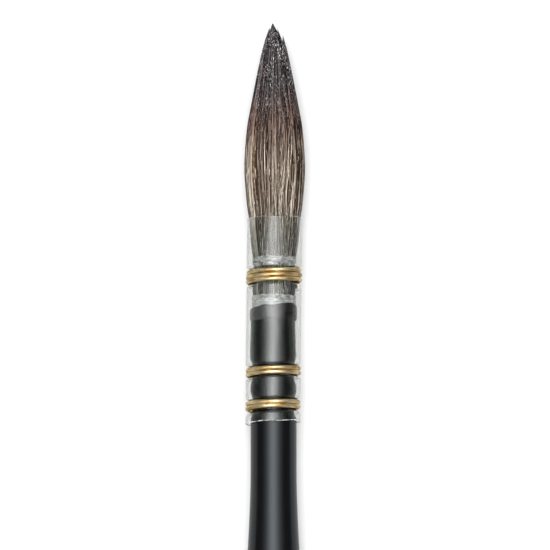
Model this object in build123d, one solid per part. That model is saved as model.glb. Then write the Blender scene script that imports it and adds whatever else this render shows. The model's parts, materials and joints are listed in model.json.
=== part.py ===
"""Pointed quill mop brush: a black lacquered handle, a clear quill ferrule tied on with brass wire, and a soft tuft.

Row frame, in millimetres: the brush lies along Y with its tip towards +Y, +Z is up, and z = 0 is the surface
that it lies on. Stations are measured along the brush from the ferrule's lower rim, positive towards the tip.
"""

import os
from math import cos, radians, sin

from build123d import *

# Overall lengths
HANDLE_OUT = 122.2
FERRULE_LENGTH = 34.3
TUFT_OUT = 33.5
TAIL = -HANDLE_OUT
MOUTH = FERRULE_LENGTH
TIP = MOUTH + TUFT_OUT

# Handle
BELLY_R = 5.2
BELLY_AT = -42.0
NECK_R = 3.88
NECK_AT = -8.0
TAIL_R = 2.5
TAIL_ROUND = 1.2
TENON_R = 3.72
TENON_TOP = 18.9
TENON_CHAMFER = 0.4

# Clear quill ferrule, drawn in to a seat under each wire binding
TUBE_R = 4.62
TUBE_WALL = 0.42
SEAT_RAMP = 1.2
TENON_SEAT_R = 3.92
TUFT_SEAT_R = 4.02
SLIP = 0.02

# Brass wire bindings: station, turns, and where the lower end starts, in degrees from the top towards +X
WIRE = 0.74
WIRE_PITCH = 0.755
UPPER_WIRE = (24.22, 3.0, 95.0)
MIDDLE_WIRE = (8.23, 2.1, 150.0)
LOWER_WIRE = (2.52, 2.1, 150.0)

# Thread bindings round the tuft's root, in the same terms
THREAD = 0.32
THREAD_PITCH = 0.335
THREAD_SEAT_R = 3.26
UPPER_THREAD = (26.9, 3.2, 200.0)
LOWER_THREAD = (20.5, 2.2, 140.0)

# How far a winding presses into what it is wound on
BITE = 0.02

# Resin and glue below the tuft
RESIN_R = 3.6
ROOT_FOOT = 19.95
COLLAR_FOOT = 16.9
COLLAR_TOP = 19.6

# Tuft outline. The free part's points are (radius, distance beyond the ferrule's mouth)
ROOT_BULGE_R = 3.66
ROOT_RAMP = 0.7
ROOT_STEP = 0.2
MOUTH_R = 4.17
FREE_TUFT = [(4.74, 2.8), (5.13, 9.2), (4.15, 18.9), (1.8, 29.6)]
TIP_R = 0.1
TIP_SLOPE = (-0.5, 1)

# The two places where the free tuft bends, as a ball in a socket
FLEX_STATIONS = (MOUTH + 1.0, MOUTH + 15.0)
FLEX_DEGREES = (18.0, 22.0)
SOCKET_DEPTH = 0.3
BALL_INSET = 0.35
BALL_GAP = 0.12

# Places in the row frame
AXIS_HEIGHT = BELLY_R
MIDDLE_STATION = (TAIL + TIP) / 2

# Sizes of the boxes that divide a body, larger than the tuft, and thinner than any feature on it
ROOM = 60.0
SLICE = 0.01


def ease(start, end):
    """An S-curve between two (radius, station) points, along the brush at both ends."""
    third = (end[1] - start[1]) / 3
    return Bezier(start, (start[0], start[1] + third), (end[0], end[1] - third), end)


def eased(points):
    """Outline edges through (radius, station) points: a line at one radius or one station, else an S-curve."""
    edges = []
    for start, end in zip(points, points[1:]):
        straight = start[0] == end[0] or start[1] == end[1]
        edges.append(Line(start, end) if straight else ease(start, end))
    return edges


def turned(edges):
    """The solid that a closed outline of (radius, station) edges sweeps round the brush's axis."""
    return revolve(make_face(Wire(edges)), Axis.Y)


def closed(edges):
    """The edges with a line from the last to the axis, one along the axis, and one back to the first."""
    first, last = edges[0] @ 0, edges[-1] @ 1
    edges = edges + [Line(last, (0, last.Y)), Line((0, last.Y), (0, first.Y))]
    if first.X > 0:
        edges.append(Line((0, first.Y), first))
    return edges


def covered(strand, pitch, binding):
    """The first and last station that a winding covers."""
    at, turns, _ = binding
    half = (turns * pitch + strand) / 2
    return at - half, at + half


def seat(binding, away_r, seat_r):
    """Outline points of a waist in the ferrule or tenon, under a wire binding."""
    low, high = covered(WIRE, WIRE_PITCH, binding)
    return [(away_r, low - SEAT_RAMP), (seat_r, low), (seat_r, high), (away_r, high + SEAT_RAMP)]


def wound(strand, pitch, binding, seat_r):
    """A strand pulled tight round a seat, as one right-handed coil that advances towards the tip."""
    at, turns, start_degrees = binding
    height = turns * pitch
    coil = Helix(pitch, height, seat_r + strand / 2 - BITE)
    section = Plane(origin=coil @ 0, z_dir=coil % 0) * Circle(strand / 2)
    solid = Pos(0, 0, -height / 2) * sweep(section, path=coil, is_frenet=True)
    along_brush = Plane(origin=(0, at, 0), x_dir=(0, 0, 1), z_dir=(0, 1, 0))
    return along_brush * Rot(0, 0, start_degrees) * solid


def handle():
    """Turned wood in one piece: tail, belly, neck, and a tenon with a groove under each lower binding."""
    groove_r = TENON_SEAT_R - TUBE_WALL - SLIP
    face_r = TAIL_R - TAIL_ROUND
    body = [(TAIL_R, TAIL + TAIL_ROUND), (BELLY_R, BELLY_AT), (NECK_R, NECK_AT)]
    body += seat(LOWER_WIRE, NECK_R, groove_r) + seat(MIDDLE_WIRE, NECK_R, groove_r)
    body += [(TENON_R, COLLAR_FOOT), (TENON_R, TENON_TOP - TENON_CHAMFER)]
    tail_face = Line((0, TAIL), (face_r, TAIL))
    tail_round = TangentArc((face_r, TAIL), body[0], tangent=(1, 0))
    chamfer = Line(body[-1], (TENON_R - TENON_CHAMFER, TENON_TOP))
    return turned(closed([tail_face, tail_round, *eased(body), chamfer]))


def tube_outline(inwards):
    """Outline points of the ferrule's outer surface, moved in by a distance."""
    away_r = TUBE_R - inwards
    points = [(away_r, 0.0)]
    for binding, seat_r in (
        (LOWER_WIRE, TENON_SEAT_R),
        (MIDDLE_WIRE, TENON_SEAT_R),
        (UPPER_WIRE, TUFT_SEAT_R),
    ):
        points += seat(binding, away_r, seat_r - inwards)
    return [*points, (away_r, MOUTH)]


def quill_ferrule():
    """The clear tube, open at both ends."""
    outer, inner = tube_outline(0), tube_outline(TUBE_WALL)
    rims = [Line(outer[-1], inner[-1]), Line(inner[0], outer[0])]
    return turned([*eased(outer), *eased(inner), *rims])


def tenon_collar():
    """The ring of dark glue between the top of the tenon and the ferrule."""
    ring_r = TUBE_R - TUBE_WALL - SLIP
    bore_r = TENON_R + SLIP
    corners = [(bore_r, COLLAR_FOOT), (ring_r, COLLAR_FOOT), (ring_r, COLLAR_TOP), (bore_r, COLLAR_TOP)]
    return turned(Polyline(*corners, close=True).edges())


def root_resin():
    """The disc of white resin that seals the tuft's cut end and bonds it to the tenon."""
    return turned(closed([Line((RESIN_R, TENON_TOP), (RESIN_R, ROOT_FOOT))]))


def tuft():
    """The whole tuft as one body, from its cut end to its point, before it is divided where it bends."""
    wire_low, _ = covered(WIRE, WIRE_PITCH, UPPER_WIRE)
    _, lower_thread_high = covered(THREAD, THREAD_PITCH, LOWER_THREAD)
    thread_low, thread_high = covered(THREAD, THREAD_PITCH, UPPER_THREAD)
    wire_r = TUFT_SEAT_R - TUBE_WALL - SLIP
    root = [
        (THREAD_SEAT_R, ROOT_FOOT),
        (THREAD_SEAT_R, lower_thread_high),
        (ROOT_BULGE_R, lower_thread_high + ROOT_RAMP),
        (wire_r, wire_low),
        (wire_r, thread_low - ROOT_STEP),
        (THREAD_SEAT_R, thread_low),
        (THREAD_SEAT_R, thread_high),
        (ROOT_BULGE_R, thread_high + ROOT_RAMP),
    ]
    free = [(radius, MOUTH + beyond_mouth) for radius, beyond_mouth in FREE_TUFT]
    outline = Spline(root[-1], (MOUTH_R, MOUTH), *free, (TIP_R, TIP), tangents=[(0, 1), TIP_SLOPE])
    return turned(closed([*eased(root), outline]))


def beyond(station):
    """Everything on the tip's side of a station."""
    return Pos(0, station + ROOM / 2, 0) * Box(ROOM, ROOM, ROOM)


def outline_radius(body, station):
    """Radius of a turned body at a station."""
    cut = body & (Pos(0, station, 0) * Box(ROOM, SLICE, ROOM))
    return cut.bounding_box().max.X


def bend(body, station, degrees):
    """Divides a body where it bends: the part below, with a socket, and the part beyond, with a ball."""
    rim = station - SOCKET_DEPTH
    ball_r = outline_radius(body, rim) - BALL_INSET
    below = body - beyond(rim) - Pos(0, station, 0) * Sphere(ball_r + BALL_GAP)
    swing = radians(degrees)
    widest = body.bounding_box().max.X
    shoulder = station + (widest * sin(swing) - SOCKET_DEPTH + BALL_GAP) / cos(swing)
    return below, (body & beyond(shoulder)) + Pos(0, station, 0) * Sphere(ball_r)


def tuft_segments():
    """The tuft's fixed root, and the two segments of its free length."""
    root, free = bend(tuft(), FLEX_STATIONS[0], FLEX_DEGREES[0])
    belly, point = bend(free, FLEX_STATIONS[1], FLEX_DEGREES[1])
    return {"tuft_root": root, "tuft_belly": belly, "tuft_point": point}


def windings():
    """The brass wire bindings outside the ferrule, and the thread bindings inside it."""
    return {
        "upper_wire_binding": wound(WIRE, WIRE_PITCH, UPPER_WIRE, TUFT_SEAT_R),
        "middle_wire_binding": wound(WIRE, WIRE_PITCH, MIDDLE_WIRE, TENON_SEAT_R),
        "lower_wire_binding": wound(WIRE, WIRE_PITCH, LOWER_WIRE, TENON_SEAT_R),
        "upper_thread_binding": wound(THREAD, THREAD_PITCH, UPPER_THREAD, THREAD_SEAT_R),
        "lower_thread_binding": wound(THREAD, THREAD_PITCH, LOWER_THREAD, THREAD_SEAT_R),
    }


def main():
    """Builds every piece along its own axis, places it in the row frame, and writes it."""
    pieces = {
        "handle": handle(),
        "quill_ferrule": quill_ferrule(),
        "tenon_collar": tenon_collar(),
        "root_resin": root_resin(),
        **tuft_segments(),
        **windings(),
    }
    os.makedirs("parts", exist_ok=True)
    for name, piece in pieces.items():
        export_step(Pos(0, -MIDDLE_STATION, AXIS_HEIGHT) * piece, f"parts/{name}.step")


main()
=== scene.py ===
"""Looks of the quill mop brush: its hair, clear ferrule, windings, glue, lacquer and studio.

Shapes are worked out in brush millimetres (x, station, z): x to the right and z up from the brush's axis,
and the station along it from the ferrule's lower rim. placed() carries them to the row frame, in metres.
"""

import json
from math import cos, pi, radians, sin, tan, tau

import bpy
import numpy as np
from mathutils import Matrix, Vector


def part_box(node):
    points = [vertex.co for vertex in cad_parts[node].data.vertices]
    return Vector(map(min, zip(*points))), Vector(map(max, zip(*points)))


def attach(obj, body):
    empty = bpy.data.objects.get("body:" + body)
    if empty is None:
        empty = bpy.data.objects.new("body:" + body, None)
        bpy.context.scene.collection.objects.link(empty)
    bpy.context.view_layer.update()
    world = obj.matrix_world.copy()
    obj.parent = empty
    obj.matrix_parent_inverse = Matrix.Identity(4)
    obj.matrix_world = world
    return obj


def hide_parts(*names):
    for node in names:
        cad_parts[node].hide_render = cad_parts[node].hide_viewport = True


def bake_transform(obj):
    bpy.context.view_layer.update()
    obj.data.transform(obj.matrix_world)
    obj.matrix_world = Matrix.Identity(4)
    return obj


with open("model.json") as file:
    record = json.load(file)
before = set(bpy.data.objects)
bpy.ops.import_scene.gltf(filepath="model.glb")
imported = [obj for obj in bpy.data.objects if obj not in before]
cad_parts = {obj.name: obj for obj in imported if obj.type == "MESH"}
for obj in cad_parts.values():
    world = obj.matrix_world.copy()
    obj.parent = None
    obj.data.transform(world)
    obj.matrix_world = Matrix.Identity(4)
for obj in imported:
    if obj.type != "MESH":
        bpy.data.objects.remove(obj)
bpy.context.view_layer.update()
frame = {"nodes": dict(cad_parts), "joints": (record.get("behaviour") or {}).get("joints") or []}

MM = 0.001
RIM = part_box("quill_ferrule")[0].y
AXIS_Z = sum(corner.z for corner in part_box("handle")) / 2


def station_of(y):
    """The station in brush millimetres of a row-frame y."""
    return (y - RIM) / MM


def ends(node):
    """The first and last station of a CAD node."""
    low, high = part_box(node)
    return station_of(low.y), station_of(high.y)


def outer_radius(node):
    """Half the width of a CAD node, in millimetres."""
    low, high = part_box(node)
    return (high.x - low.x) / 2 / MM


MOUTH = ends("quill_ferrule")[1]
TIP = ends("tuft_point")[1]
TUBE_R = outer_radius("quill_ferrule")
TUFT_R = outer_radius("tuft_belly")
FLEXES = [station_of(joint["pos_m"][1]) for joint in frame["joints"]]

# The wire bindings: turns, and where the lower end starts, in degrees from the top towards +X
WIRES = {
    "upper_wire_binding": (3.0, 95),
    "middle_wire_binding": (2.1, 150),
    "lower_wire_binding": (2.1, 150),
}
WIRE = 0.74
WIRE_PITCH = 0.755

# The thread bindings, in the same terms
THREADS = {"upper_thread_binding": (3.2, 200), "lower_thread_binding": (2.2, 140)}
THREAD = 0.32

# The ferrule isn't quite true: how far it is to the right of the handle's axis at its lower rim, and how
# much more with each millimetre up to its mouth. The tenon and its collar of glue lean a little the other way
LEAN = (-0.13, 0.0093)
TENON_LEAN = (0, -0.008)
COLLAR_LEAN = (0, -0.002)


# ---------------------------------------------------------------- shapes


def placed(points, lean):
    """Brush millimetres to the row frame, in metres, with a lean of all beyond the ferrule's lower rim."""
    x, station, z = np.moveaxis(np.asarray(points, float), -1, 0)
    at_rim, slope = lean
    x = x + at_rim + slope * np.clip(station, 0, MOUTH)
    return np.stack([x * MM, RIM + station * MM, AXIS_Z + z * MM], -1)


def at_angle(radius, angle, station):
    """Points round the axis. The angle is from the top towards +X."""
    radius, angle, station = np.broadcast_arrays(radius, angle, station)
    return np.stack([radius * np.sin(angle), station, radius * np.cos(angle)], -1)


def smooth_curve(points):
    """A function that passes smoothly through (input, output) points, without overshoot."""
    x, y = np.array(points, float).T
    rise = np.diff(y) / np.diff(x)
    slopes = np.concatenate([rise[:1], np.zeros(len(x) - 2), rise[-1:]])
    same_way = rise[:-1] * rise[1:] > 0
    both = 2 * rise[:-1] * rise[1:] / np.where(same_way, rise[:-1] + rise[1:], 1)
    slopes[1:-1] = np.where(same_way, both, 0)

    def value(at):
        at = np.clip(at, x[0], x[-1])
        i = np.clip(np.searchsorted(x, at) - 1, 0, len(x) - 2)
        width = x[i + 1] - x[i]
        t = (at - x[i]) / width
        ahead = t * t * (3 - 2 * t)
        return (
            (1 - ahead) * y[i] + ahead * y[i + 1]
            + width * t * (1 - t) * ((1 - t) * slopes[i] - t * slopes[i + 1])
        )

    return value


def ramp(at, low, high):
    """0 below low, 1 above high, and smooth between."""
    t = np.clip((at - low) / (high - low), 0, 1)
    return t * t * (3 - 2 * t)


def between(limits, share):
    """The value at a share of the way from the first limit to the last."""
    first, last = limits
    return first + (last - first) * share


def share_of(limits, value):
    """The share of the way from the first limit to the last at which a value lies."""
    first, last = limits
    return (value - first) / (last - first)


def ripples(seed, around, along=0.0, waves=14):
    """A pattern of smooth bumps of size about 1, a sum of waves.

    around is the most waves in a turn of the brush, and along the most in a millimetre of its length.
    """
    rng = np.random.default_rng(seed)
    turns = rng.integers(1, around + 1, waves) * rng.choice([-1, 1], waves)
    rates = rng.uniform(0.2, 1, waves) * along * tau
    phases = rng.uniform(0, tau, waves)

    def value(angle, station):
        angle, station = np.broadcast_arrays(angle, station)
        wave = np.sin(angle[..., None] * turns + station[..., None] * rates + phases)
        return wave.sum(-1) * (2 / waves) ** 0.5

    return value


def mesh_piece(name, points, faces, material, body, lean=LEAN):
    """A smooth-shaded piece from brush-millimetre points, with flat end caps.

    With no body, the caller attaches it, or leaves it unattached.
    """
    mesh = bpy.data.meshes.new(name)
    mesh.from_pydata(placed(points, lean).reshape(-1, 3).tolist(), [], faces)
    mesh.polygons.foreach_set("use_smooth", [len(face) == 4 for face in faces])
    mesh.materials.append(material)
    piece = bpy.data.objects.new(name, mesh)
    bpy.context.scene.collection.objects.link(piece)
    if body:
        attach(piece, body)
    return piece


def store(piece, name, kind, field, values):
    """Keeps a value for each point of a mesh."""
    attribute = piece.data.attributes.new(name, kind, "POINT")
    attribute.data.foreach_set(field, values.astype(np.float32).ravel())


def grid_faces(rows, columns, first=0, closed_rows=False):
    """Quads between rows of points that each close on themselves. closed_rows joins the last to the first."""
    row = np.arange(rows if closed_rows else rows - 1)[:, None]
    column = np.arange(columns)[None, :]
    after, beside = (row + 1) % rows, (column + 1) % columns
    near = (row * columns + column, row * columns + beside)
    far = (after * columns + beside, after * columns + column)
    return (first + np.stack(np.broadcast_arrays(*near, *far), -1).reshape(-1, 4)).tolist()


def spun(profile, segments, shape=None):
    """Rings of points from (radius, station) points.

    shape(radius, angle, station) returns all three, changed.
    """
    radius, station = (column[:, None] for column in np.array(profile, float).T)
    angle = np.linspace(0, tau, segments, endpoint=False)[None, :]
    if shape:
        radius, angle, station = shape(radius, angle, station)
    return at_angle(radius, angle, station)


def capped(rings):
    """Faces of a stack of rings with both ends closed."""
    rows, columns = rings.shape[:2]
    last = (rows - 1) * columns
    return [*grid_faces(rows, columns), list(range(columns))[::-1], list(range(last, last + columns))]


OUTLINE_STEP = 0.1


def cad_outline(node):
    """The outer radius of a turned CAD node at any station."""
    points = np.array([v.co for v in frame["nodes"][node].data.vertices])
    station = station_of(points[:, 1])
    radius = np.hypot(points[:, 0], points[:, 2] - AXIS_Z) / MM
    step = np.round(station / OUTLINE_STEP).astype(int)
    outline = []
    for s in np.unique(step):
        widest = np.argmax(np.where(step == s, radius, 0))
        outline.append((station[widest], radius[widest]))
    return smooth_curve(outline)


# ---------------------------------------------------------------- materials


def grey(level, tint=(1, 1, 1)):
    """A colour of this linear level."""
    return (*(level * t for t in tint), 1)


# The colours between which each material's noise goes
LACQUER_COLOURS = (grey(0.002), grey(0.004, (0.85, 0.95, 1.1)))
BRASS_COLOURS = ((0.84, 0.7, 0.42, 1), (0.42, 0.27, 0.1, 1))
THREAD_COLOURS = (grey(0.6), grey(0.2, (0.97, 0.98, 1)))
RESIN_COLOURS = (grey(0.5), grey(0.3))
GLUE_COLOURS = (grey(0.005), grey(0.06, (1, 1.02, 1.08)))

# The tint of the lacquer's gloss, and the colour of the glints painted into the hair's colour
LACQUER_GLOSS = (0.87, 0.95, 1.0, 1)
PAINTED_GLINT_COLOUR = grey(0.75, (1.02, 1, 1))

# The clear quill's own colour, and the tint of light that goes straight through it
QUILL_COLOUR = (0.955, 0.962, 0.95, 1)
QUILL_LIGHT = (0.84, 0.85, 0.835, 1)

# Where nearly all values of a noise lie
NOISE_SPAN = (0.3, 0.7)

# How far either side of its middle the glue goes from grey on its left to dark, in millimetres
PALE_REACH = 2.2

# The stations between which the painted glints in the hair's colour come in
PAINTED_GLINTS = (MOUTH + 13, MOUTH + 31)


def node(tree, kind, inputs=None, **settings):
    """A shader node. An input is a number, a colour, or another node's output."""
    made = tree.nodes.new("ShaderNode" + kind)
    for name, value in settings.items():
        setattr(made, name, value)
    for name, value in (inputs or {}).items():
        if isinstance(value, bpy.types.NodeSocket):
            tree.links.new(value, made.inputs[name])
        else:
            made.inputs[name].default_value = value
    return made


def new_material(name):
    """A new material, its node tree and its Principled shader."""
    material = bpy.data.materials.new(name)
    material.use_nodes = True
    tree = material.node_tree
    return material, tree, tree.nodes["Principled BSDF"]


def link(tree, output, target, name):
    """Links an output to a node's input."""
    tree.links.new(output, target.inputs[name])


def surface_mix(tree, share, shader, other):
    """Makes the surface a shader, with another one in its place by a share of 0 to 1."""
    mix = node(tree, "MixShader", {0: share, 1: shader.outputs[0], 2: other.outputs[0]})
    link(tree, mix.outputs[0], tree.nodes["Material Output"], "Surface")


def maths(tree, operation, *values, clamp=False):
    """The result of a maths node on these values."""
    return node(tree, "Math", dict(enumerate(values)), operation=operation, use_clamp=clamp).outputs[0]


def mixed(tree, share, a, b):
    """The colour at a share of the way from a to b."""
    return node(tree, "Mix", {0: share, 6: a, 7: b}, data_type="RGBA").outputs[2]


def graded(tree, value, span, to=(0.0, 1.0)):
    """The value carried from one range to another, and held at its ends."""
    inputs = {"Value": value, "From Min": span[0], "From Max": span[1], "To Min": to[0], "To Max": to[1]}
    return node(tree, "MapRange", inputs).outputs["Result"]


def object_place(tree):
    """The place on an object, in metres."""
    return node(tree, "TexCoord").outputs["Object"]


def part_of(tree, vector, axis):
    """One of a vector's three numbers."""
    return node(tree, "SeparateXYZ", {"Vector": vector}).outputs[axis]


def stored(tree, name, output):
    """What the mesh keeps for its points under this name."""
    return node(tree, "Attribute", attribute_name=name).outputs[output]


def noise(tree, scale, detail=2.0, roughness=0.5, vector=None):
    """Noise over the object's own millimetres, or over a vector, with a scale for each axis."""
    if vector is None:
        vector = object_place(tree)
        scale = tuple(s / MM for s in scale)
    place = node(tree, "Mapping", {"Vector": vector, "Scale": scale}).outputs["Vector"]
    inputs = {"Vector": place, "Scale": 1.0, "Detail": detail, "Roughness": roughness}
    return node(tree, "TexNoise", inputs).outputs["Fac"]


def roughened(tree, pattern, shader, low, high):
    """Makes the roughness go from low to high with a noise."""
    link(tree, graded(tree, pattern, NOISE_SPAN, (low, high)), shader, "Roughness")


def bumped(tree, height, shader, distance):
    """Raises the surface by height times a distance in millimetres."""
    bump = node(tree, "Bump", {"Height": height, "Distance": distance * MM, "Strength": 1.0})
    link(tree, bump.outputs["Normal"], shader, "Normal")


def mirrored(tree):
    """1 for a ray that was mirrored and not refracted, and otherwise 0."""
    ray = node(tree, "LightPath").outputs
    return maths(tree, "SUBTRACT", ray["Is Glossy Ray"], ray["Is Transmission Ray"])


def lacquer():
    """Black lacquer, smooth as poured, with the faintest ripple and dust."""
    material, tree, shader = new_material("black_lacquer")
    wear = noise(tree, (0.5, 0.12, 0.5), detail=4.0, roughness=0.6)
    link(tree, mixed(tree, wear, *LACQUER_COLOURS), shader, "Base Color")
    roughened(tree, noise(tree, (2.5, 0.4, 2.5), detail=3.0), shader, 0.2, 0.25)
    shader.inputs["IOR"].default_value = 1.46
    shader.inputs["Specular Tint"].default_value = LACQUER_GLOSS
    bumped(tree, noise(tree, (0.45, 0.05, 0.45)), shader, 0.008)
    return material


def clear_quill():
    """Clear plastic, frosted in places at its cut ends. Light to what is inside goes straight through it."""
    material, tree, shader = new_material("clear_quill")
    patch = graded(tree, noise(tree, (2.0, 2.0, 2.0)), (0.38, 0.62))
    frost = maths(tree, "MULTIPLY", stored(tree, "cut_edge", "Fac"), patch)
    shader.inputs["Base Color"].default_value = QUILL_COLOUR
    shader.inputs["IOR"].default_value = 1.47
    link(tree, graded(tree, frost, (0, 1), (1.0, 0.2)), shader, "Transmission Weight")
    roughened(tree, noise(tree, (0.6, 0.1, 0.6), detail=3.0), shader, 0.01, 0.04)
    bumped(tree, noise(tree, (0.5, 0.12, 0.5)), shader, 0.006)
    ray = node(tree, "LightPath").outputs
    direct = maths(tree, "MAXIMUM", ray["Is Shadow Ray"], ray["Is Diffuse Ray"])
    through = maths(tree, "MAXIMUM", direct, mirrored(tree))
    surface_mix(tree, through, shader, node(tree, "BsdfTransparent", {"Color": QUILL_LIGHT}))
    return material


def brass():
    """Drawn brass wire, browned a little where fingers and glue have touched it."""
    material, tree, shader = new_material("brass_wire")
    tarnish = noise(tree, (0.45, 1.4, 0.45), detail=4.0, roughness=0.6)
    browned = graded(tree, tarnish, (0.4, 0.64))
    link(tree, mixed(tree, browned, *BRASS_COLOURS), shader, "Base Color")
    shader.inputs["Metallic"].default_value = 1.0
    roughened(tree, tarnish, shader, 0.4, 0.55)
    bumped(tree, noise(tree, (1.6, 2.4, 1.6), detail=3.0), shader, 0.03)
    return material


def thread_and_size():
    """White thread soaked in clear size, so it is part milky and part grey."""
    material, tree, shader = new_material("sized_thread")
    size = noise(tree, (1.1, 3.4, 1.1), detail=5.0, roughness=0.65)
    soaked = graded(tree, size, (0.4, 0.6))
    link(tree, mixed(tree, soaked, *THREAD_COLOURS), shader, "Base Color")
    roughened(tree, size, shader, 0.3, 0.55)
    bumped(tree, noise(tree, (1.6, 5.0, 1.6), detail=3.0), shader, 0.2)
    return material


def milky_resin():
    """White resin, glossy and uneven."""
    material, tree, shader = new_material("milky_resin")
    cloud = noise(tree, (0.9, 1.8, 0.9), detail=4.0, roughness=0.6)
    clouded = graded(tree, cloud, (0.35, 0.65))
    link(tree, mixed(tree, clouded, *RESIN_COLOURS), shader, "Base Color")
    roughened(tree, cloud, shader, 0.2, 0.4)
    bumped(tree, cloud, shader, 0.08)
    return material


def dark_glue():
    """Dark glue between tenon and ferrule, paler grey towards its left."""
    material, tree, shader = new_material("dark_glue")
    patch = noise(tree, (0.4, 0.5, 0.4), detail=4.0, roughness=0.6)
    across = part_of(tree, object_place(tree), "X")
    to_left = graded(tree, across, (-PALE_REACH * MM, PALE_REACH * MM), (0.85, 0))
    # Paler grey towards the left, in patches
    paler_left = maths(tree, "MULTIPLY", to_left, graded(tree, patch, NOISE_SPAN, (0.6, 1.3)))
    link(tree, mixed(tree, paler_left, *GLUE_COLOURS), shader, "Base Color")
    roughened(tree, patch, shader, 0.15, 0.4)
    bumped(tree, noise(tree, (1.2, 1.6, 1.2), detail=4.0), shader, 0.02)
    return material


def brush_hair():
    """Hair. Each strand's own colour is in its mesh, and the dark hair towards the point has fine glints
    painted into its colour.
    """
    material, tree, shader = new_material("brush_hair")
    colour = stored(tree, "hair_colour", "Color")
    place = stored(tree, "hair_place", "Vector")
    streak = noise(tree, (4.6, 0.06, 4.6), detail=1.0, vector=place)
    shade = graded(tree, streak, (0.36, 0.64), (0.7, 1.3))
    shaded = node(tree, "VectorMath", {0: colour, 1: shade}, operation="MULTIPLY").outputs[0]
    # Painted glints: pale specks mixed into the hair's colour towards the point, stronger in patches
    painted_glint_spots = graded(tree, noise(tree, (8.5, 2.0, 8.5), detail=1.0, vector=place), (0.59, 0.68))
    patch = graded(tree, noise(tree, (0.9, 0.3, 0.9), detail=1.0, vector=place), (0.4, 0.6), (0.25, 1.4))
    near_point = graded(tree, part_of(tree, place, "Y"), PAINTED_GLINTS, (0.03, 1.0))
    strength = maths(tree, "MULTIPLY", patch, near_point)
    painted_glint = maths(tree, "MULTIPLY", painted_glint_spots, strength, clamp=True)
    link(tree, mixed(tree, painted_glint, shaded, PAINTED_GLINT_COLOUR), shader, "Base Color")
    roughened(tree, streak, shader, 0.32, 0.55)
    shader.inputs["IOR"].default_value = 1.5
    shader.inputs["Specular IOR Level"].default_value = 0.15
    return material


# ---------------------------------------------------------------- handle

# Rings of the handle: from its tail, where the edge is rounded, in even steps along it, and short of its top
TAIL_RINGS = np.array([0, 0.02, 0.06, 0.12, 0.2, 0.3, 0.45, 0.6, 0.8, 1.0, 1.2])
EVEN_FROM = 2
HANDLE_STEP = 0.5
TOP_RINGS = np.array([0.4, 0.2, 0])
TURNED_SEGMENTS = 144


def make_handle():
    """The lacquered handle, turned again from the CAD outline with fine rings."""
    outline = cad_outline("handle")
    tail, top = ends("handle")
    even = np.arange(tail + EVEN_FROM, top - HANDLE_STEP, HANDLE_STEP)
    stations = [*(tail + TAIL_RINGS), *even, *(top - TOP_RINGS)]
    rings = spun([(outline(s), s) for s in stations], TURNED_SEGMENTS)
    piece = mesh_piece("handle_lacquered", rings, capped(rings), lacquer(), "brush", TENON_LEAN)
    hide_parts("handle")


# ---------------------------------------------------------------- ferrule

TUBE_WALL = 0.3

# Its cut ends: how far the rim drops and slants, how far the mouth slants, how uneven both are, how far
# along the tube that reaches, and how much of the rim's frost the mouth has
RIM_DROP = 0.4
RIM_SLANT = 0.2
MOUTH_SLANT = 0.06
UNEVEN = 0.05
END_REACH = 3
MOUTH_FROST = 0.25

# How much its ends flare, and how far from an end that begins and is over
LIP = 0.035
LIP_REACH = (0.1, 0.6)

# The grooves that the wires press in: how wide one slopes back beside its wire, how far under the wire the
# slope starts, how soon it eases in at a wire's end in turns, and how much the tube puckers between them
GROOVE_SIDE = 0.65
GROOVE_FLOOR = 0.06
TURN_EASE = 0.06
PUCKER = 0.018

# Rings of the tube: round each edge, close together near the wires, and further apart elsewhere
EDGE_RINGS = 5
FIRST_RING = 0.1
FINE_STEP = 0.08
FINE_REACH = 0.9
COARSE_STEP = 0.4


def groove(angle, station):
    """How far the wires press the ferrule in: 0 to 1 of the way to its seat under them."""
    pressed = 0 * angle * station
    for name, (turns, start) in WIRES.items():
        middle = sum(ends(name)) / 2
        for turn in range(-1, int(turns) + 1):
            t = turn + ((angle - radians(start)) / tau) % 1
            wire = ramp(t, -TURN_EASE, 0) * (1 - ramp(t, turns, turns + TURN_EASE))
            apart = abs(station - middle - (t - turns / 2) * WIRE_PITCH)
            depth = 1 - ramp(apart, WIRE / 2 - GROOVE_FLOOR, WIRE / 2 + GROOVE_SIDE)
            pressed = np.maximum(pressed, wire * depth)
    return pressed


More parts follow.
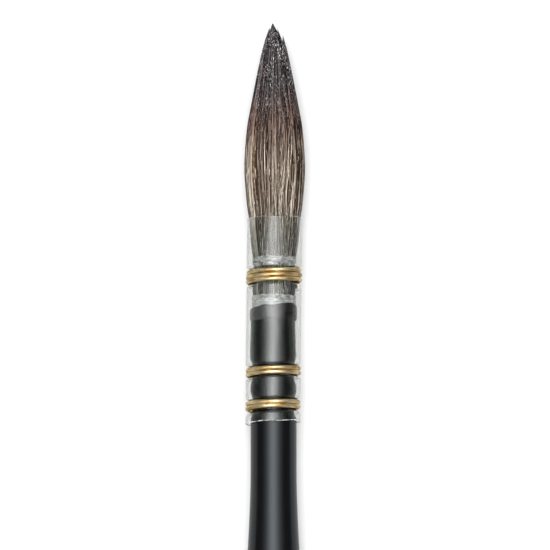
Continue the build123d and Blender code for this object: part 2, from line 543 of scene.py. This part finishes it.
def make_ferrule():
    """The clear tube, pressed in under each wire, with the uneven ends of one cut and tied by hand."""
    edge = TUBE_WALL / 2
    rounding = [(edge * (1 - cos(a)), edge * sin(a)) for a in np.linspace(0, pi / 2, EDGE_RINGS)]
    fine = [np.arange(low - FINE_REACH, high + FINE_REACH, FINE_STEP) for low, high in map(ends, WIRES)]
    coarse = np.arange(edge + FIRST_RING, MOUTH - edge, COARSE_STEP)
    outer = [(TUBE_R - inset, edge - rise) for inset, rise in rounding[::-1]]
    outer += [(TUBE_R, s) for s in np.unique(np.concatenate([*fine, coarse]))]
    outer += [(TUBE_R - inset, MOUTH - edge + rise) for inset, rise in rounding]
    inner = [(2 * (TUBE_R - edge) - r, s) for r, s in outer]
    profile = outer + inner[::-1][1:-1]
    seat_depth = TUBE_R - (outer_radius("middle_wire_binding") - WIRE)
    pucker = ripples(seed=3, around=7, along=0.12)
    cut = ripples(seed=4, around=5)

    def by_hand(radius, angle, station):
        at_seat = seat_depth * groove(angle, station)
        radius = radius - at_seat + PUCKER * pucker(angle, station) * (1 - ramp(at_seat, 0, seat_depth))
        at_rim = 1 - ramp(station, 0, END_REACH)
        at_mouth = ramp(station, MOUTH - END_REACH, MOUTH)
        slant = (RIM_SLANT * at_rim + MOUTH_SLANT * at_mouth) * np.sin(angle) - RIM_DROP * at_rim
        uneven = UNEVEN * cut(angle, station) * (at_rim + at_mouth)
        near, far = LIP_REACH
        flare = 1 - ramp(station, near, far) + ramp(station, MOUTH - far, MOUTH - near)
        return radius + LIP * flare, angle, station + slant + uneven

    rings = spun(profile, TURNED_SEGMENTS, by_hand)
    faces = grid_faces(*rings.shape[:2], closed_rows=True)
    piece = mesh_piece("ferrule_tube", rings, faces, clear_quill(), "brush")
    station = np.array([s for _, s in profile])
    at_cut = np.where(station < edge, 1.0, np.where(station > MOUTH - edge, MOUTH_FROST, 0.0))
    store(piece, "cut_edge", "FLOAT", "value", np.repeat(at_cut, rings.shape[1]))
    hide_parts("quill_ferrule")


# ---------------------------------------------------------------- windings

# The wire's mesh: points in a turn and round it. Its thickness at its ends, and the length over which it
# comes back, from beyond the end to inside it
WIRE_STEPS = 120
WIRE_SIDES = 16
WIRE_END = 0.3
WIRE_TAPER = (-0.6, 1.6)

# The thread's mesh, in the same terms
THREAD_STEPS = 140
THREAD_SIDES = 8

# How far a winding strays along the brush and away from it
WIRE_STRAY = (0.03, 0.015)
THREAD_STRAY = (0.09, 0.04)

# The crust of size on the thread: how far it reaches below and above the thread, how far it is proud of it
# in the middle, how much less at its edges, how ragged those are, and the height of its lumps
CRUST_BELOW = {"upper_thread_binding": 0.05, "lower_thread_binding": 0.5}
CRUST_ABOVE = 0.08
CRUST_PROUD = 0.07
CRUST_FALL = 0.1
CRUST_RAGGED = 0.07
CRUST_LUMPS = 0.035
CRUST_RINGS = 16
CRUST_SEGMENTS = 160


def tube_along(line, radii, sides, outward):
    """Rings of points round a line. outward is a direction across the line at each point."""
    ahead = np.gradient(line, axis=0)
    ahead /= np.linalg.norm(ahead, axis=1)[:, None]
    side = np.cross(ahead, outward)
    side /= np.linalg.norm(side, axis=1)[:, None]
    up = np.cross(side, ahead)
    turn = np.linspace(0, tau, sides, endpoint=False)
    ring = up[:, None] * np.cos(turn)[None, :, None] + side[:, None] * np.sin(turn)[None, :, None]
    return line[:, None] + ring * np.asarray(radii)[:, None, None]


def winding(turns, pitch, start, coil_r, middle, steps, stray, seed):
    """The line of a strand wound round the brush, and its outward directions. It starts at start degrees."""
    t = np.linspace(0, turns, int(turns * steps))
    along, away = stray
    uneven = ripples(seed, around=3)
    drift = ripples(seed + 1, around=5)
    share = t * tau / max(turns, 1)
    station = middle + (t - turns / 2) * pitch + along * uneven(share, 0)
    radius = coil_r + away * drift(share, 0)
    angle = radians(start) + t * tau
    return at_angle(radius, angle, station), at_angle(1, angle, 0)


def make_wires():
    """The three brass bindings, each one wire with its ends pressed down against the turns."""
    material = brass()
    for i, (name, (turns, start)) in enumerate(WIRES.items()):
        coil_r = outer_radius(name) - WIRE / 2
        middle = sum(ends(name)) / 2
        line, out = winding(turns, WIRE_PITCH, start, coil_r, middle, WIRE_STEPS, WIRE_STRAY, seed=11 + i)
        along = np.linspace(0, turns * tau * coil_r, len(line))
        from_end = np.minimum(along, along[-1] - along)
        radii = WIRE / 2 * (WIRE_END + (1 - WIRE_END) * ramp(from_end, *WIRE_TAPER))
        line = line - out * (WIRE / 2 - radii)[:, None]
        rings = tube_along(line, radii, WIRE_SIDES, out)
        piece = mesh_piece(name.replace("_binding", "_coil"), rings, capped(rings), material, "brush")
        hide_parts(name)


def make_threads():
    """The thread round each end of the tuft's root, under a crinkled crust of dried size."""
    material = thread_and_size()
    for i, (name, (turns, start)) in enumerate(THREADS.items()):
        limits = ends(name)
        first, last = limits
        coil_r = outer_radius(name) - THREAD / 2
        pitch = (last - first - THREAD) / turns
        middle = (first + last) / 2
        line, out = winding(turns, pitch, start, coil_r, middle, THREAD_STEPS, THREAD_STRAY, seed=21 + i)
        coil = tube_along(line, np.full(len(line), THREAD / 2), THREAD_SIDES, out)
        lumps = ripples(seed=41 + i, around=26, along=1.4, waves=40)
        edge = ripples(seed=43 + i, around=22, waves=30)

        def crusted(radius, angle, station):
            ragged = CRUST_RAGGED * edge(angle + 2 * share_of(limits, station), 0 * station)
            return radius + CRUST_LUMPS * lumps(angle, station), angle, station + ragged

        reach = (first - CRUST_BELOW[name], last + CRUST_ABOVE)
        crust_r = coil_r + THREAD / 2 + CRUST_PROUD
        steps = np.linspace(0, 1, CRUST_RINGS)
        profile = [(crust_r - CRUST_FALL * (2 * t - 1) ** 6, between(reach, t)) for t in steps]
        crust = spun(profile, CRUST_SEGMENTS, crusted)
        points = np.concatenate([coil.reshape(-1, 3), crust.reshape(-1, 3)])
        faces = capped(coil) + grid_faces(*crust.shape[:2], first=coil.size // 3)
        piece = mesh_piece(name.replace("_binding", "_turns"), points, faces, material, "brush")
        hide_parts(name)


# ---------------------------------------------------------------- glue

GLUE_SEGMENTS = 128

# The collar: how far it is inside its CAD node, how thick it is, and how much its edges are rounded
COLLAR_INSET = 0.2
COLLAR_WALL = 0.24
COLLAR_ROUNDING = 0.14
COLLAR_RINGS = 14

# Its upper and lower edges: how much higher than the middle the highest place is, how far that is from the
# right towards the top, in radians, how far the whole edge is raised, and how ragged it is
COLLAR_TOP = (0.42, 0.3, -0.35, 0.08)
COLLAR_BOTTOM = (0.12, 0.0, 0.0, 0.05)
COLLAR_SWELL = 0.02

# The resin: how much it bulges at its middle and how high its lumps are
RESIN_BULGE = 0.25
RESIN_LUMPS = 0.06
RESIN_RINGS = 10


def collar_edge(edge, angle, ragged):
    """How far up an edge of the collar is from where its CAD node has it."""
    rise, turned, raised, raggedness = edge
    return rise * np.sin(angle + turned) + raised + raggedness * ragged


def make_collar():
    """The ring of dark glue, higher on the right where it ran up the ferrule."""
    limits = ends("tenon_collar")
    ring_r = outer_radius("tenon_collar") - COLLAR_INSET
    ragged = ripples(seed=31, around=9)
    swell = ripples(seed=32, around=5, along=0.15)
    steps = np.linspace(0, 1, COLLAR_RINGS)
    profile = [(ring_r - COLLAR_ROUNDING * (2 * t - 1) ** 4, between(limits, t)) for t in steps]
    profile += [(ring_r - COLLAR_WALL, between(limits, t)) for t in steps[::-1]]

    def run(radius, angle, station):
        share = share_of(limits, station)
        top = collar_edge(COLLAR_TOP, angle, ragged(angle, 0 * station))
        bottom = collar_edge(COLLAR_BOTTOM, angle, ragged(angle + 1, 0 * station))
        shift = share * top + (1 - share) * bottom
        return radius + COLLAR_SWELL * swell(angle, station), angle, station + shift

    rings = spun(profile, GLUE_SEGMENTS, run)
    faces = grid_faces(*rings.shape[:2], closed_rows=True)
    piece = mesh_piece("collar_glue", rings, faces, dark_glue(), "brush", COLLAR_LEAN)
    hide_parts("tenon_collar")


def make_resin():
    """The disc of milky resin between tenon and tuft."""
    limits = ends("root_resin")
    resin_r = outer_radius("root_resin")
    lumps = ripples(seed=33, around=12, along=0.8)
    steps = np.linspace(0, 1, RESIN_RINGS)
    profile = [(resin_r + RESIN_BULGE * t * (1 - t), between(limits, t)) for t in steps]

    def lumpy(radius, angle, station):
        return radius + RESIN_LUMPS * lumps(angle, station), angle, station

    rings = spun(profile, GLUE_SEGMENTS, lumpy)
    piece = mesh_piece("resin_disc", rings, capped(rings), milky_resin(), "brush")
    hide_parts("root_resin")


# ---------------------------------------------------------------- hair

# Outline of the hair: (station, radius)
ROOT_END = ends("tuft_root")[0]
HAIR_OUTLINE = smooth_curve([
    (ROOT_END, 3.3), (ROOT_END + 1.6, 3.62), (MOUTH - 11, 3.5), (MOUTH - 7.4, 3.3), (MOUTH - 6.3, 3.66),
    (MOUTH - 4.6, 3.94), (MOUTH - 2.4, 4.2), (MOUTH - 0.2, 4.3), (MOUTH + 0.8, 4.5), (MOUTH + 4, 4.86),
    (MOUTH + 8.6, TUFT_R),
    (MOUTH + 14.7, 4.78), (MOUTH + 20.2, 3.84), (MOUTH + 27, 2.5), (MOUTH + 30.4, 1.68), (TIP, 0.3),
])

# Strands and the clumps they lie in. Some strands lie under the rest, and a few loose ones on top
STRANDS = 3600
STRAND_SIDES = 3
CLUMPS = 84
CLUMP_JITTER = 0.3
CLUMP_SPREAD = 0.26
UNDER_SHARE = 0.5
LOOSE_SHARE = 0.07

# How deep strands lie, where 1 is this share of the hair's radius in from its outline: those under the rest
# between two depths, the rest down to one in a beta distribution, and the loose ones down to another
DEEPEST = 0.085
UNDER_DEPTHS = (0.55, 1)
TOP_DEPTH = 0.45
TOP_DEPTH_BETA = (1.1, 2.6)
LOOSE_DEPTH = 0.12

# The nearest that a strand comes to the brush's axis
NEAREST = 0.01

# Radius of a strand, and of a loose one
RADII = (0.05, 0.075)
LOOSE_RADII = (0.055, 0.075)

# Waves along the hair: size, and shortest and longest wavelength. The first two are turns of angle in radians
# by a clump and by a strand, and the third is how much a clump draws together. Loose strands wave more
CLUMP_WAVE = (0.035, 14, 40)
OWN_WAVE = (0.014, 9, 30)
PINCH_WAVE = (0.4, 14, 30)
LOOSE_WAVE = 5.5

# How pale strands are, from 0 to 1: what their clump, in a beta distribution, and they themselves, skewed to
# dark, give to it, and how it is changed for those under the rest, darkened as painted shade, and for the
# others. Loose strands are pale
CLUMP_TONE = 0.32
CLUMP_TONE_BETA = (1.0, 1.9)
OWN_TONE = 0.48
OWN_TONE_SKEW = 1.2
UNDER_SHADE = 0.2
TOP_TONE = 1.05
LOOSE_TONES = (0.6, 1)

# A paler lock on the left of the belly: its middle and half its width, in degrees from the top towards +X,
# and how much paler its clumps and its strands are
PALE_LOCK = -57
PALE_WIDTH = 7
PALE_CLUMP = 1.2
PALE_STRAND = 0.16

# A redder lock beside it, and how much more or less of red, green and blue it has
WARM_LOCK = -42
WARM_WIDTH = 4.5
WARMTH = np.array([0.22, 0.0, -0.16])

# Painted shade in the gaps between locks where the hair leaves the ferrule: how many gaps, half their width
# in degrees, how long they are, how dark the painted shade is, and by what share of its length a gap begins
# to fade
GAPS = 30
GAP_JITTER = 0.35
GAP_WIDTH = 2.0
GAP_LENGTHS = (3, 12)
GAP_PAINTED_SHADE = 0.6
GAP_FADE = 0.2

# Strands end anywhere from this station on, where the hair has narrowed to a random share of its width. The
# shares are skewed to wide, and the curve is read at this many stations
ENDS_FROM = MOUTH + 9
ENDS_SKEW = 0.8
ENDS_STEPS = 200

# Where the hair gathers to points near its end: (x, z, distance short of the tip)
POINTS = np.array([
    (-0.36, 0.0, 0.0), (-0.89, 0.1, 0.8), (0.4, 0.1, 0.8),
    (1.38, 0.1, 2.2), (-0.1, -0.8, 1.7), (0.2, 0.85, 1.9),
])

# The share of strands that end in the first point wherever they start, the half width and height over which
# the others look for the nearest, and the length over which strands gather to the first and to the others
MAIN_POINT_SHARE = 0.42
POINT_SEARCH = (1.2, 0.8)
MAIN_GATHERING = 3.6
GATHERING = 1.9

# The length over which strands become thin: those that reach the end of the brush, and the others. How thin
# they become, how full the taper is, and how far short of the tip the longest end
END_TAPER = 1.0
TAPER = 5.0
THINNEST = 0.02
TAPER_POWER = 0.6
TIP_GAP = 0.02

# Where the colours change, in millimetres beyond the ferrule's mouth, and how much that strays by strand
TO_BELLY = (-7, 3)
TO_WARM = (3, 8)
TO_MIDDLE = (8, 17)
TO_POINT = (16, 22)
CHANGE_STRAY = 1.4

# Dark hair is a little paler round the ferrule's mouth: by how much, and where that comes in and goes out
MOUTH_PALENESS = 0.15
PALER_FROM = (-8, -1)
PALER_TO = (1, 9)

# Where the painted shade in the gaps comes in
GAPS_FROM = (-9, 0)

# The core under the strands, a dark sheet that stands for the shade deep in the hair: its share of the hair's
# radius, and how far from the tip it begins to narrow, would come to a point, and stops
CORE_SHARE = 0.91
CORE_NARROWS = 9
CORE_POINT = 1.9
CORE_END = 2
CORE_RINGS = 40
CORE_SEGMENTS = 64

# Rings along each strand inside the ferrule and beyond it, how far a bend reaches beyond its joint, and how
# far it stays clear of the seam between two pieces
ROOT_RINGS = 8
FREE_RINGS = 10
BEND_REACH = 11
SEAM = 0.3


def srgb(*levels):
    """A linear colour from 0 to 255 display levels."""
    c = np.array(levels) / 255
    return np.where(c < 0.04045, c / 12.92, ((c + 0.055) / 1.055) ** 2.4)


# The darkest, middling and palest hair of each part of the tuft
ROOT_TONES = (srgb(18, 17, 16), srgb(64, 62, 59), srgb(200, 196, 188))
BELLY_TONES = (srgb(30, 18, 10), srgb(76, 56, 39), srgb(228, 218, 200))
MIDDLE_TONES = (srgb(17, 8, 4), srgb(37, 20, 13), srgb(172, 138, 122))
POINT_TONES = (srgb(6, 3, 3), srgb(26, 18, 19), srgb(122, 112, 114))
# The core's colour: painted shade deep in the hair
CORE_SHADE_COLOUR = srgb(34, 27, 22)


def toned(tone, tones):
    """The colour of a tone from 0 to 1 among three."""
    dark, mid, light = tones
    return np.where(tone < 0.5, dark + (mid - dark) * tone * 2, mid + (light - mid) * (tone * 2 - 1))


def wrapped(angle):
    """The same angle, from half a turn back to half a turn on."""
    return (angle + pi) % tau - pi


def nearness(angle, half_width):
    """1 at an angle of 0, falling smoothly to about a third at a half width in degrees."""
    return np.exp(-((np.degrees(angle) / half_width) ** 2))


def spaced(rng, count, jitter):
    """Angles spaced round the brush, each out of place by up to a share of the space."""
    return (np.arange(count) + rng.uniform(-jitter, jitter, count)) * tau / count


def waves(rng, count, size, shortest, longest):
    """Size, rate and phase of a wave for each clump or strand."""
    return np.array([
        rng.normal(0, size, count),
        tau / rng.uniform(shortest, longest, count),
        rng.uniform(0, tau, count),
    ])


class Tuft:
    """Every strand of the tuft: where it lies at each station, how thick it is, and its colour."""

    def __init__(self, seed=5):
        rng = np.random.default_rng(seed)
        self.lay(rng)
        self.tint(rng)
        self.find_gaps(rng)
        self.gather(rng)

    def lay(self, rng):
        """Gives each strand its place in a clump and its waves."""
        n = STRANDS
        self.clump_middles = spaced(rng, CLUMPS, CLUMP_JITTER)
        self.clump = rng.integers(0, CLUMPS, n)
        self.clump_angle = self.clump_middles[self.clump]
        kind = rng.uniform(0, 1, n)
        self.under = kind < UNDER_SHARE
        self.loose = kind > 1 - LOOSE_SHARE
        space = tau / CLUMPS
        offset = np.where(
            self.under, rng.uniform(-0.5, 0.5, n), rng.normal(0, CLUMP_SPREAD, n)
        ) * space
        depth = np.where(
            self.under, rng.uniform(*UNDER_DEPTHS, n), rng.beta(*TOP_DEPTH_BETA, n) * TOP_DEPTH
        )
        self.clump_wave = waves(rng, CLUMPS, *CLUMP_WAVE)[:, self.clump]
        self.offset = np.where(self.loose, rng.uniform(-0.5, 0.5, n) * space, offset)
        self.depth = np.where(self.loose, rng.uniform(0, LOOSE_DEPTH, n), depth)
        self.own_wave = waves(rng, n, *OWN_WAVE)
        self.own_wave[0] *= np.where(self.loose, LOOSE_WAVE, 1)
        self.pinch = waves(rng, CLUMPS, *PINCH_WAVE)[:, self.clump]

    def tint(self, rng):
        """Gives each strand its tone, its warmth and its radius."""
        n = STRANDS
        clump_tone = rng.beta(*CLUMP_TONE_BETA, CLUMPS)
        pale = nearness(wrapped(self.clump_middles - radians(PALE_LOCK)), PALE_WIDTH)
        clump_tone = np.clip(clump_tone + PALE_CLUMP * pale, 0, 1)[self.clump]
        self.warm = nearness(wrapped(self.clump_angle + self.offset - radians(WARM_LOCK)), WARM_WIDTH)
        own_tone = rng.uniform(0, 1, n) ** OWN_TONE_SKEW
        tone = CLUMP_TONE * clump_tone + OWN_TONE * own_tone + PALE_STRAND * pale[self.clump]
        # Strands under the rest are darkened as painted shade
        tone = np.clip(np.where(self.under, UNDER_SHADE * tone, TOP_TONE * tone), 0, 1)
        self.tone = np.where(self.loose, rng.uniform(*LOOSE_TONES, n), tone)
        self.radius = np.where(self.loose, rng.uniform(*LOOSE_RADII, n), rng.uniform(*RADII, n))
        self.change = rng.normal(0, CHANGE_STRAY, n)

    def find_gaps(self, rng):
        """Finds how near each strand is to the middle of a gap between locks, where shade is painted, and how
        long that gap is.
        """
        gap_angle = spaced(rng, GAPS, GAP_JITTER)
        from_gap = abs(wrapped(self.clump_angle[:, None] + self.offset[:, None] - gap_angle))
        self.gap = nearness(np.min(from_gap, axis=1), GAP_WIDTH)
        self.gap_length = rng.uniform(*GAP_LENGTHS, GAPS)[np.argmin(from_gap, axis=1)]

    def gather(self, rng):
        """Gives each strand its end, and one of the small points if it reaches the end of the brush."""
        stations = np.linspace(ENDS_FROM, TIP, ENDS_STEPS)
        narrowing = HAIR_OUTLINE(stations) / TUFT_R
        share = rng.uniform(0, 1, STRANDS) ** ENDS_SKEW
        end = np.interp(-share, -narrowing, stations)
        self.far = end > TIP - MAIN_GATHERING
        width, height = POINT_SEARCH
        across = POINTS[:, None, 0] - np.sin(self.clump_angle) * width
        up = POINTS[:, None, 1] - np.cos(self.clump_angle) * height
        nearest = np.argmin(np.hypot(across, up), axis=0)
        choice = np.where(rng.uniform(0, 1, STRANDS) < MAIN_POINT_SHARE, 0, nearest)
        self.point = POINTS[choice]
        self.gathering = np.where(choice == 0, MAIN_GATHERING, GATHERING)
        self.end = np.where(self.far, TIP - TIP_GAP - self.point[:, 2], end)

    def lines(self, who, station):
        """Centre lines of some strands, and their angles, as arrays of strand by station."""
        def swing(wave):
            size, rate, phase = (row[who][:, None] for row in wave)
            return size * np.sin(rate * station + phase)

        spread = self.offset[who][:, None] * (1 + swing(self.pinch))
        angle = self.clump_angle[who][:, None] + spread + swing(self.clump_wave) + swing(self.own_wave)
        outer = HAIR_OUTLINE(station)
        radius = outer * (1 - DEEPEST * self.depth[who][:, None]) - self.radius[who][:, None]
        line = at_angle(np.maximum(radius, NEAREST), angle, station)
        end = self.end[who][:, None]
        pull = (self.far[who][:, None] * ramp(station, end - self.gathering[who][:, None], end))[..., None]
        x, z = (self.point[who, i][:, None] for i in (0, 1))
        goal = np.stack(np.broadcast_arrays(x, station, z), -1)
        return line + (goal - line) * pull, angle

    def thickness(self, who, station):
        """Radius of each strand, tapering to its own end."""
        taper = np.where(self.far[who], END_TAPER, TAPER)[:, None]
        left = (self.end[who][:, None] - station) / taper
        return self.radius[who][:, None] * np.clip(left, THINNEST, 1) ** TAPER_POWER

    def colours(self, who, station):
        """Linear colours of the strands: grey at the root, then beige, brown, and charcoal at the point, with
        painted shade in the gaps between locks.
        """
        def own(values):
            return values[who][:, None, None]

        beyond = (station - MOUTH + self.change[who][:, None])[..., None]
        at_mouth = ramp(beyond, *PALER_FROM) * (1 - ramp(beyond, *PALER_TO))
        tone = own(self.tone) ** (1 - MOUTH_PALENESS * at_mouth)
        belly, middle, point = (toned(tone, tones) for tones in (BELLY_TONES, MIDDLE_TONES, POINT_TONES))
        gap_end = own(self.gap_length)
        painted_gap_shade = own(self.gap) * (1 - ramp(beyond, GAP_FADE * gap_end, gap_end)) * ramp(beyond, *GAPS_FROM)
        colour = toned(tone, ROOT_TONES)
        colour = colour + (belly - colour) * ramp(beyond, *TO_BELLY)
        # Painted shade: darker in the gaps between locks near the ferrule's mouth
        colour = colour * (1 - GAP_PAINTED_SHADE * painted_gap_shade)
        colour = colour * (1 + own(self.warm) * WARMTH * ramp(beyond, *TO_WARM))
        colour = colour + (middle - colour) * ramp(beyond, *TO_MIDDLE)
        return colour + (point - colour) * ramp(beyond, *TO_POINT)


def strand_rings(line, angle, radii):
    """Rings of points round each strand, flat across the brush."""
    out = at_angle(1, angle, 0)
    side = at_angle(1, angle + pi / 2, 0)
    turn = np.linspace(0, tau, STRAND_SIDES, endpoint=False)
    ring = out[:, :, None] * np.cos(turn)[:, None] + side[:, :, None] * np.sin(turn)[:, None]
    return line[:, :, None] + ring * radii[:, :, None, None]


def core_rings(first, last):
    """Rings of the core, dark as painted shade, between two stations."""
    stations = np.linspace(first, min(last, TIP - CORE_END), CORE_RINGS)
    narrowing = 1 - ramp(stations, TIP - CORE_NARROWS, TIP - CORE_POINT)
    return spun(np.column_stack([HAIR_OUTLINE(stations) * CORE_SHARE * narrowing, stations]), CORE_SEGMENTS)


def hair_piece(name, limits, rings_each, node_name, tuft, material):
    """All strands between two stations, over the core of painted shade."""
    first, last = limits
    who = np.flatnonzero(tuft.end > first + SEAM)
    stop = np.minimum(tuft.end[who], last)[:, None]
    station = between((first, stop), np.linspace(0, 1, rings_each)[None, :])
    line, angle = tuft.lines(who, station)
    strands = strand_rings(line, angle, tuft.thickness(who, station)).reshape(-1, 3)
    one = np.array(grid_faces(rings_each, STRAND_SIDES))
    shifts = np.arange(len(who))[:, None, None] * rings_each * STRAND_SIDES
    colour = np.repeat(tuft.colours(who, station)[:, :, None], STRAND_SIDES, 2).reshape(-1, 3)

    core = core_rings(first, last)
    faces = (shifts + one).reshape(-1, 4).tolist() + grid_faces(*core.shape[:2], first=len(strands))
    core = core.reshape(-1, 3)
    points = np.concatenate([strands, core])
    # The core takes the painted shade colour
    colours = np.concatenate([colour, np.tile(CORE_SHADE_COLOUR, (len(core), 1))])
    opaque = np.column_stack([colours, np.ones(len(colours))])

    piece = mesh_piece(name, points, faces, material, None)
    store(piece, "hair_colour", "FLOAT_COLOR", "color", opaque)
    store(piece, "hair_place", "FLOAT_VECTOR", "vector", points)
    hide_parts(node_name)
    return piece


def make_hair(tuft, material):
    """The hair in three pieces: still inside the ferrule, and over each of the two joints."""
    start = MOUTH + SEAM
    middle, end = (flex + BEND_REACH for flex in FLEXES)
    root = hair_piece("hair_in_ferrule", (ROOT_END, start), ROOT_RINGS, "tuft_root", tuft, material)
    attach(root, "brush")
    belly = hair_piece("hair_belly", (start, middle), FREE_RINGS, "tuft_belly", tuft, material)
    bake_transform(belly)
    point = hair_piece("hair_point", (middle, TIP), FREE_RINGS, "tuft_point", tuft, material)
    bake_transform(point)


# ---------------------------------------------------------------- studio

# The camera: how wide it sees at the brush and the (x, station) in its middle, in millimetres, its angle
# above the floor, its distance and its sensor, in millimetres, and the nearest and furthest it sees in metres
VIEW_WIDTH = 92.9
VIEW_CENTRE = (0.24, 24.7)
VIEW_ELEVATION = 83.5
VIEW_DISTANCE = 1200.0
SENSOR = 36.0
VIEW_CLIP = (0.01, 20)

# The soft box, seen from the brush: its sides towards -X and +X and its ends towards -Y and +Y, in degrees
# from straight up, and where it is brightest and how fast it fades, as tangents
LIGHT_HEIGHT = 0.6
LIGHT_SIDES = (-58, 48)
LIGHT_ENDS = (-40, 47)
LIGHT_RADIANCE = 4.9
LIGHT_MIDDLE = -0.055
LIGHT_FADE = 0.58

# The floor's half size, and how far from its middle it begins to run into the backdrop and has done so
FLOOR_SIZE = 3.0
FLOOR_FADE = (0.1, 0.4)

# Levels of the backdrop as the camera sees it, and of the paper and the light all round: straight, and in a
# reflection, where they are darker, as if dark cards stood by the brush. On the paper that darkening is
# painted shade
BACKDROP = 0.92
PAPER = (0.84, 0.45)
FILL = (0.24, 0.08)


def make_camera():
    """A long lens almost straight above the brush, a little towards its handle."""
    camera = bpy.data.objects.new("camera", bpy.data.cameras.new("camera"))
    bpy.context.scene.collection.objects.link(camera)
    tilt = radians(VIEW_ELEVATION)
    back = Vector((0, -cos(tilt), sin(tilt)))
    target = Vector((VIEW_CENTRE[0] * MM, RIM + VIEW_CENTRE[1] * MM, AXIS_Z))
    camera.location = target + back * VIEW_DISTANCE * MM
    camera.rotation_mode = "QUATERNION"
    camera.rotation_quaternion = (-back).to_track_quat("-Z", "Y")
    camera.data.sensor_width = SENSOR
    camera.data.lens = SENSOR * VIEW_DISTANCE / VIEW_WIDTH
    camera.data.clip_start, camera.data.clip_end = VIEW_CLIP
    bpy.context.scene.camera = camera


def make_floor():
    """A plain white sweep that runs into the backdrop, with painted shade where it is seen in a reflection.
    """
    corners = [(x * FLOOR_SIZE, y * FLOOR_SIZE, 0) for x, y in ((-1, -1), (1, -1), (1, 1), (-1, 1))]
    mesh = bpy.data.meshes.new("floor")
    mesh.from_pydata(corners, [], [(0, 1, 2, 3)])
    material, tree, shader = new_material("white_paper")
    # Painted shade: the paper is darker where it is seen in a reflection
    link(tree, mixed(tree, mirrored(tree), *map(grey, PAPER)), shader, "Base Color")
    shader.inputs["Roughness"].default_value = 0.9
    shader.inputs["Specular IOR Level"].default_value = 0.1
    away = node(tree, "VectorMath", {0: object_place(tree)}, operation="LENGTH").outputs["Value"]
    seen = node(tree, "LightPath").outputs["Is Camera Ray"]
    fading = maths(tree, "MULTIPLY", graded(tree, away, FLOOR_FADE), seen)
    surface_mix(tree, fading, shader, node(tree, "Emission", {"Color": grey(BACKDROP)}))
    mesh.materials.append(material)
    floor = bpy.data.objects.new("floor", mesh)
    bpy.context.scene.collection.objects.link(floor)


def make_world():
    """Even grey light from all round, behind a pale backdrop."""
    world = bpy.data.worlds.new("studio")
    bpy.context.scene.world = world
    world.use_nodes = True
    tree = world.node_tree
    seen = node(tree, "LightPath").outputs["Is Camera Ray"]
    fill = mixed(tree, mirrored(tree), *map(grey, FILL))
    link(tree, mixed(tree, seen, fill, grey(BACKDROP)), tree.nodes["Background"], "Color")


def make_light():
    """A soft box above the brush and along it, brightest along its middle and fading to both sides."""
    low, high = (LIGHT_HEIGHT * tan(radians(a)) for a in LIGHT_SIDES)
    front, back = (LIGHT_HEIGHT * tan(radians(a)) for a in LIGHT_ENDS)
    data = bpy.data.lights.new("soft_box", "AREA")
    data.shape = "RECTANGLE"
    data.size = high - low
    data.size_y = back - front
    data.energy = LIGHT_RADIANCE * pi * data.size * data.size_y
    data.use_nodes = True
    tree = data.node_tree
    across = part_of(tree, node(tree, "NewGeometry").outputs["Parametric"], "X")
    slope = graded(tree, across, (0, 1), (low / LIGHT_HEIGHT, high / LIGHT_HEIGHT))
    share = maths(tree, "DIVIDE", maths(tree, "SUBTRACT", slope, LIGHT_MIDDLE), LIGHT_FADE)
    spread = maths(tree, "MULTIPLY_ADD", share, share, 1.0)
    link(tree, maths(tree, "POWER", spread, -2.0), tree.nodes["Emission"], "Strength")
    light = bpy.data.objects.new("soft_box", data)
    light.location = ((low + high) / 2, (front + back) / 2, LIGHT_HEIGHT)
    light.visible_camera = False
    bpy.context.scene.collection.objects.link(light)


def make_studio():
    """The camera, floor, backdrop and light, and plain display colours."""
    make_camera()
    make_floor()
    make_world()
    make_light()
    bpy.context.scene.view_settings.view_transform = "Standard"


hair = brush_hair()
tuft = Tuft()

make_handle()
make_ferrule()
make_wires()
make_threads()
make_collar()
make_resin()
make_hair(tuft, hair)
make_studio()
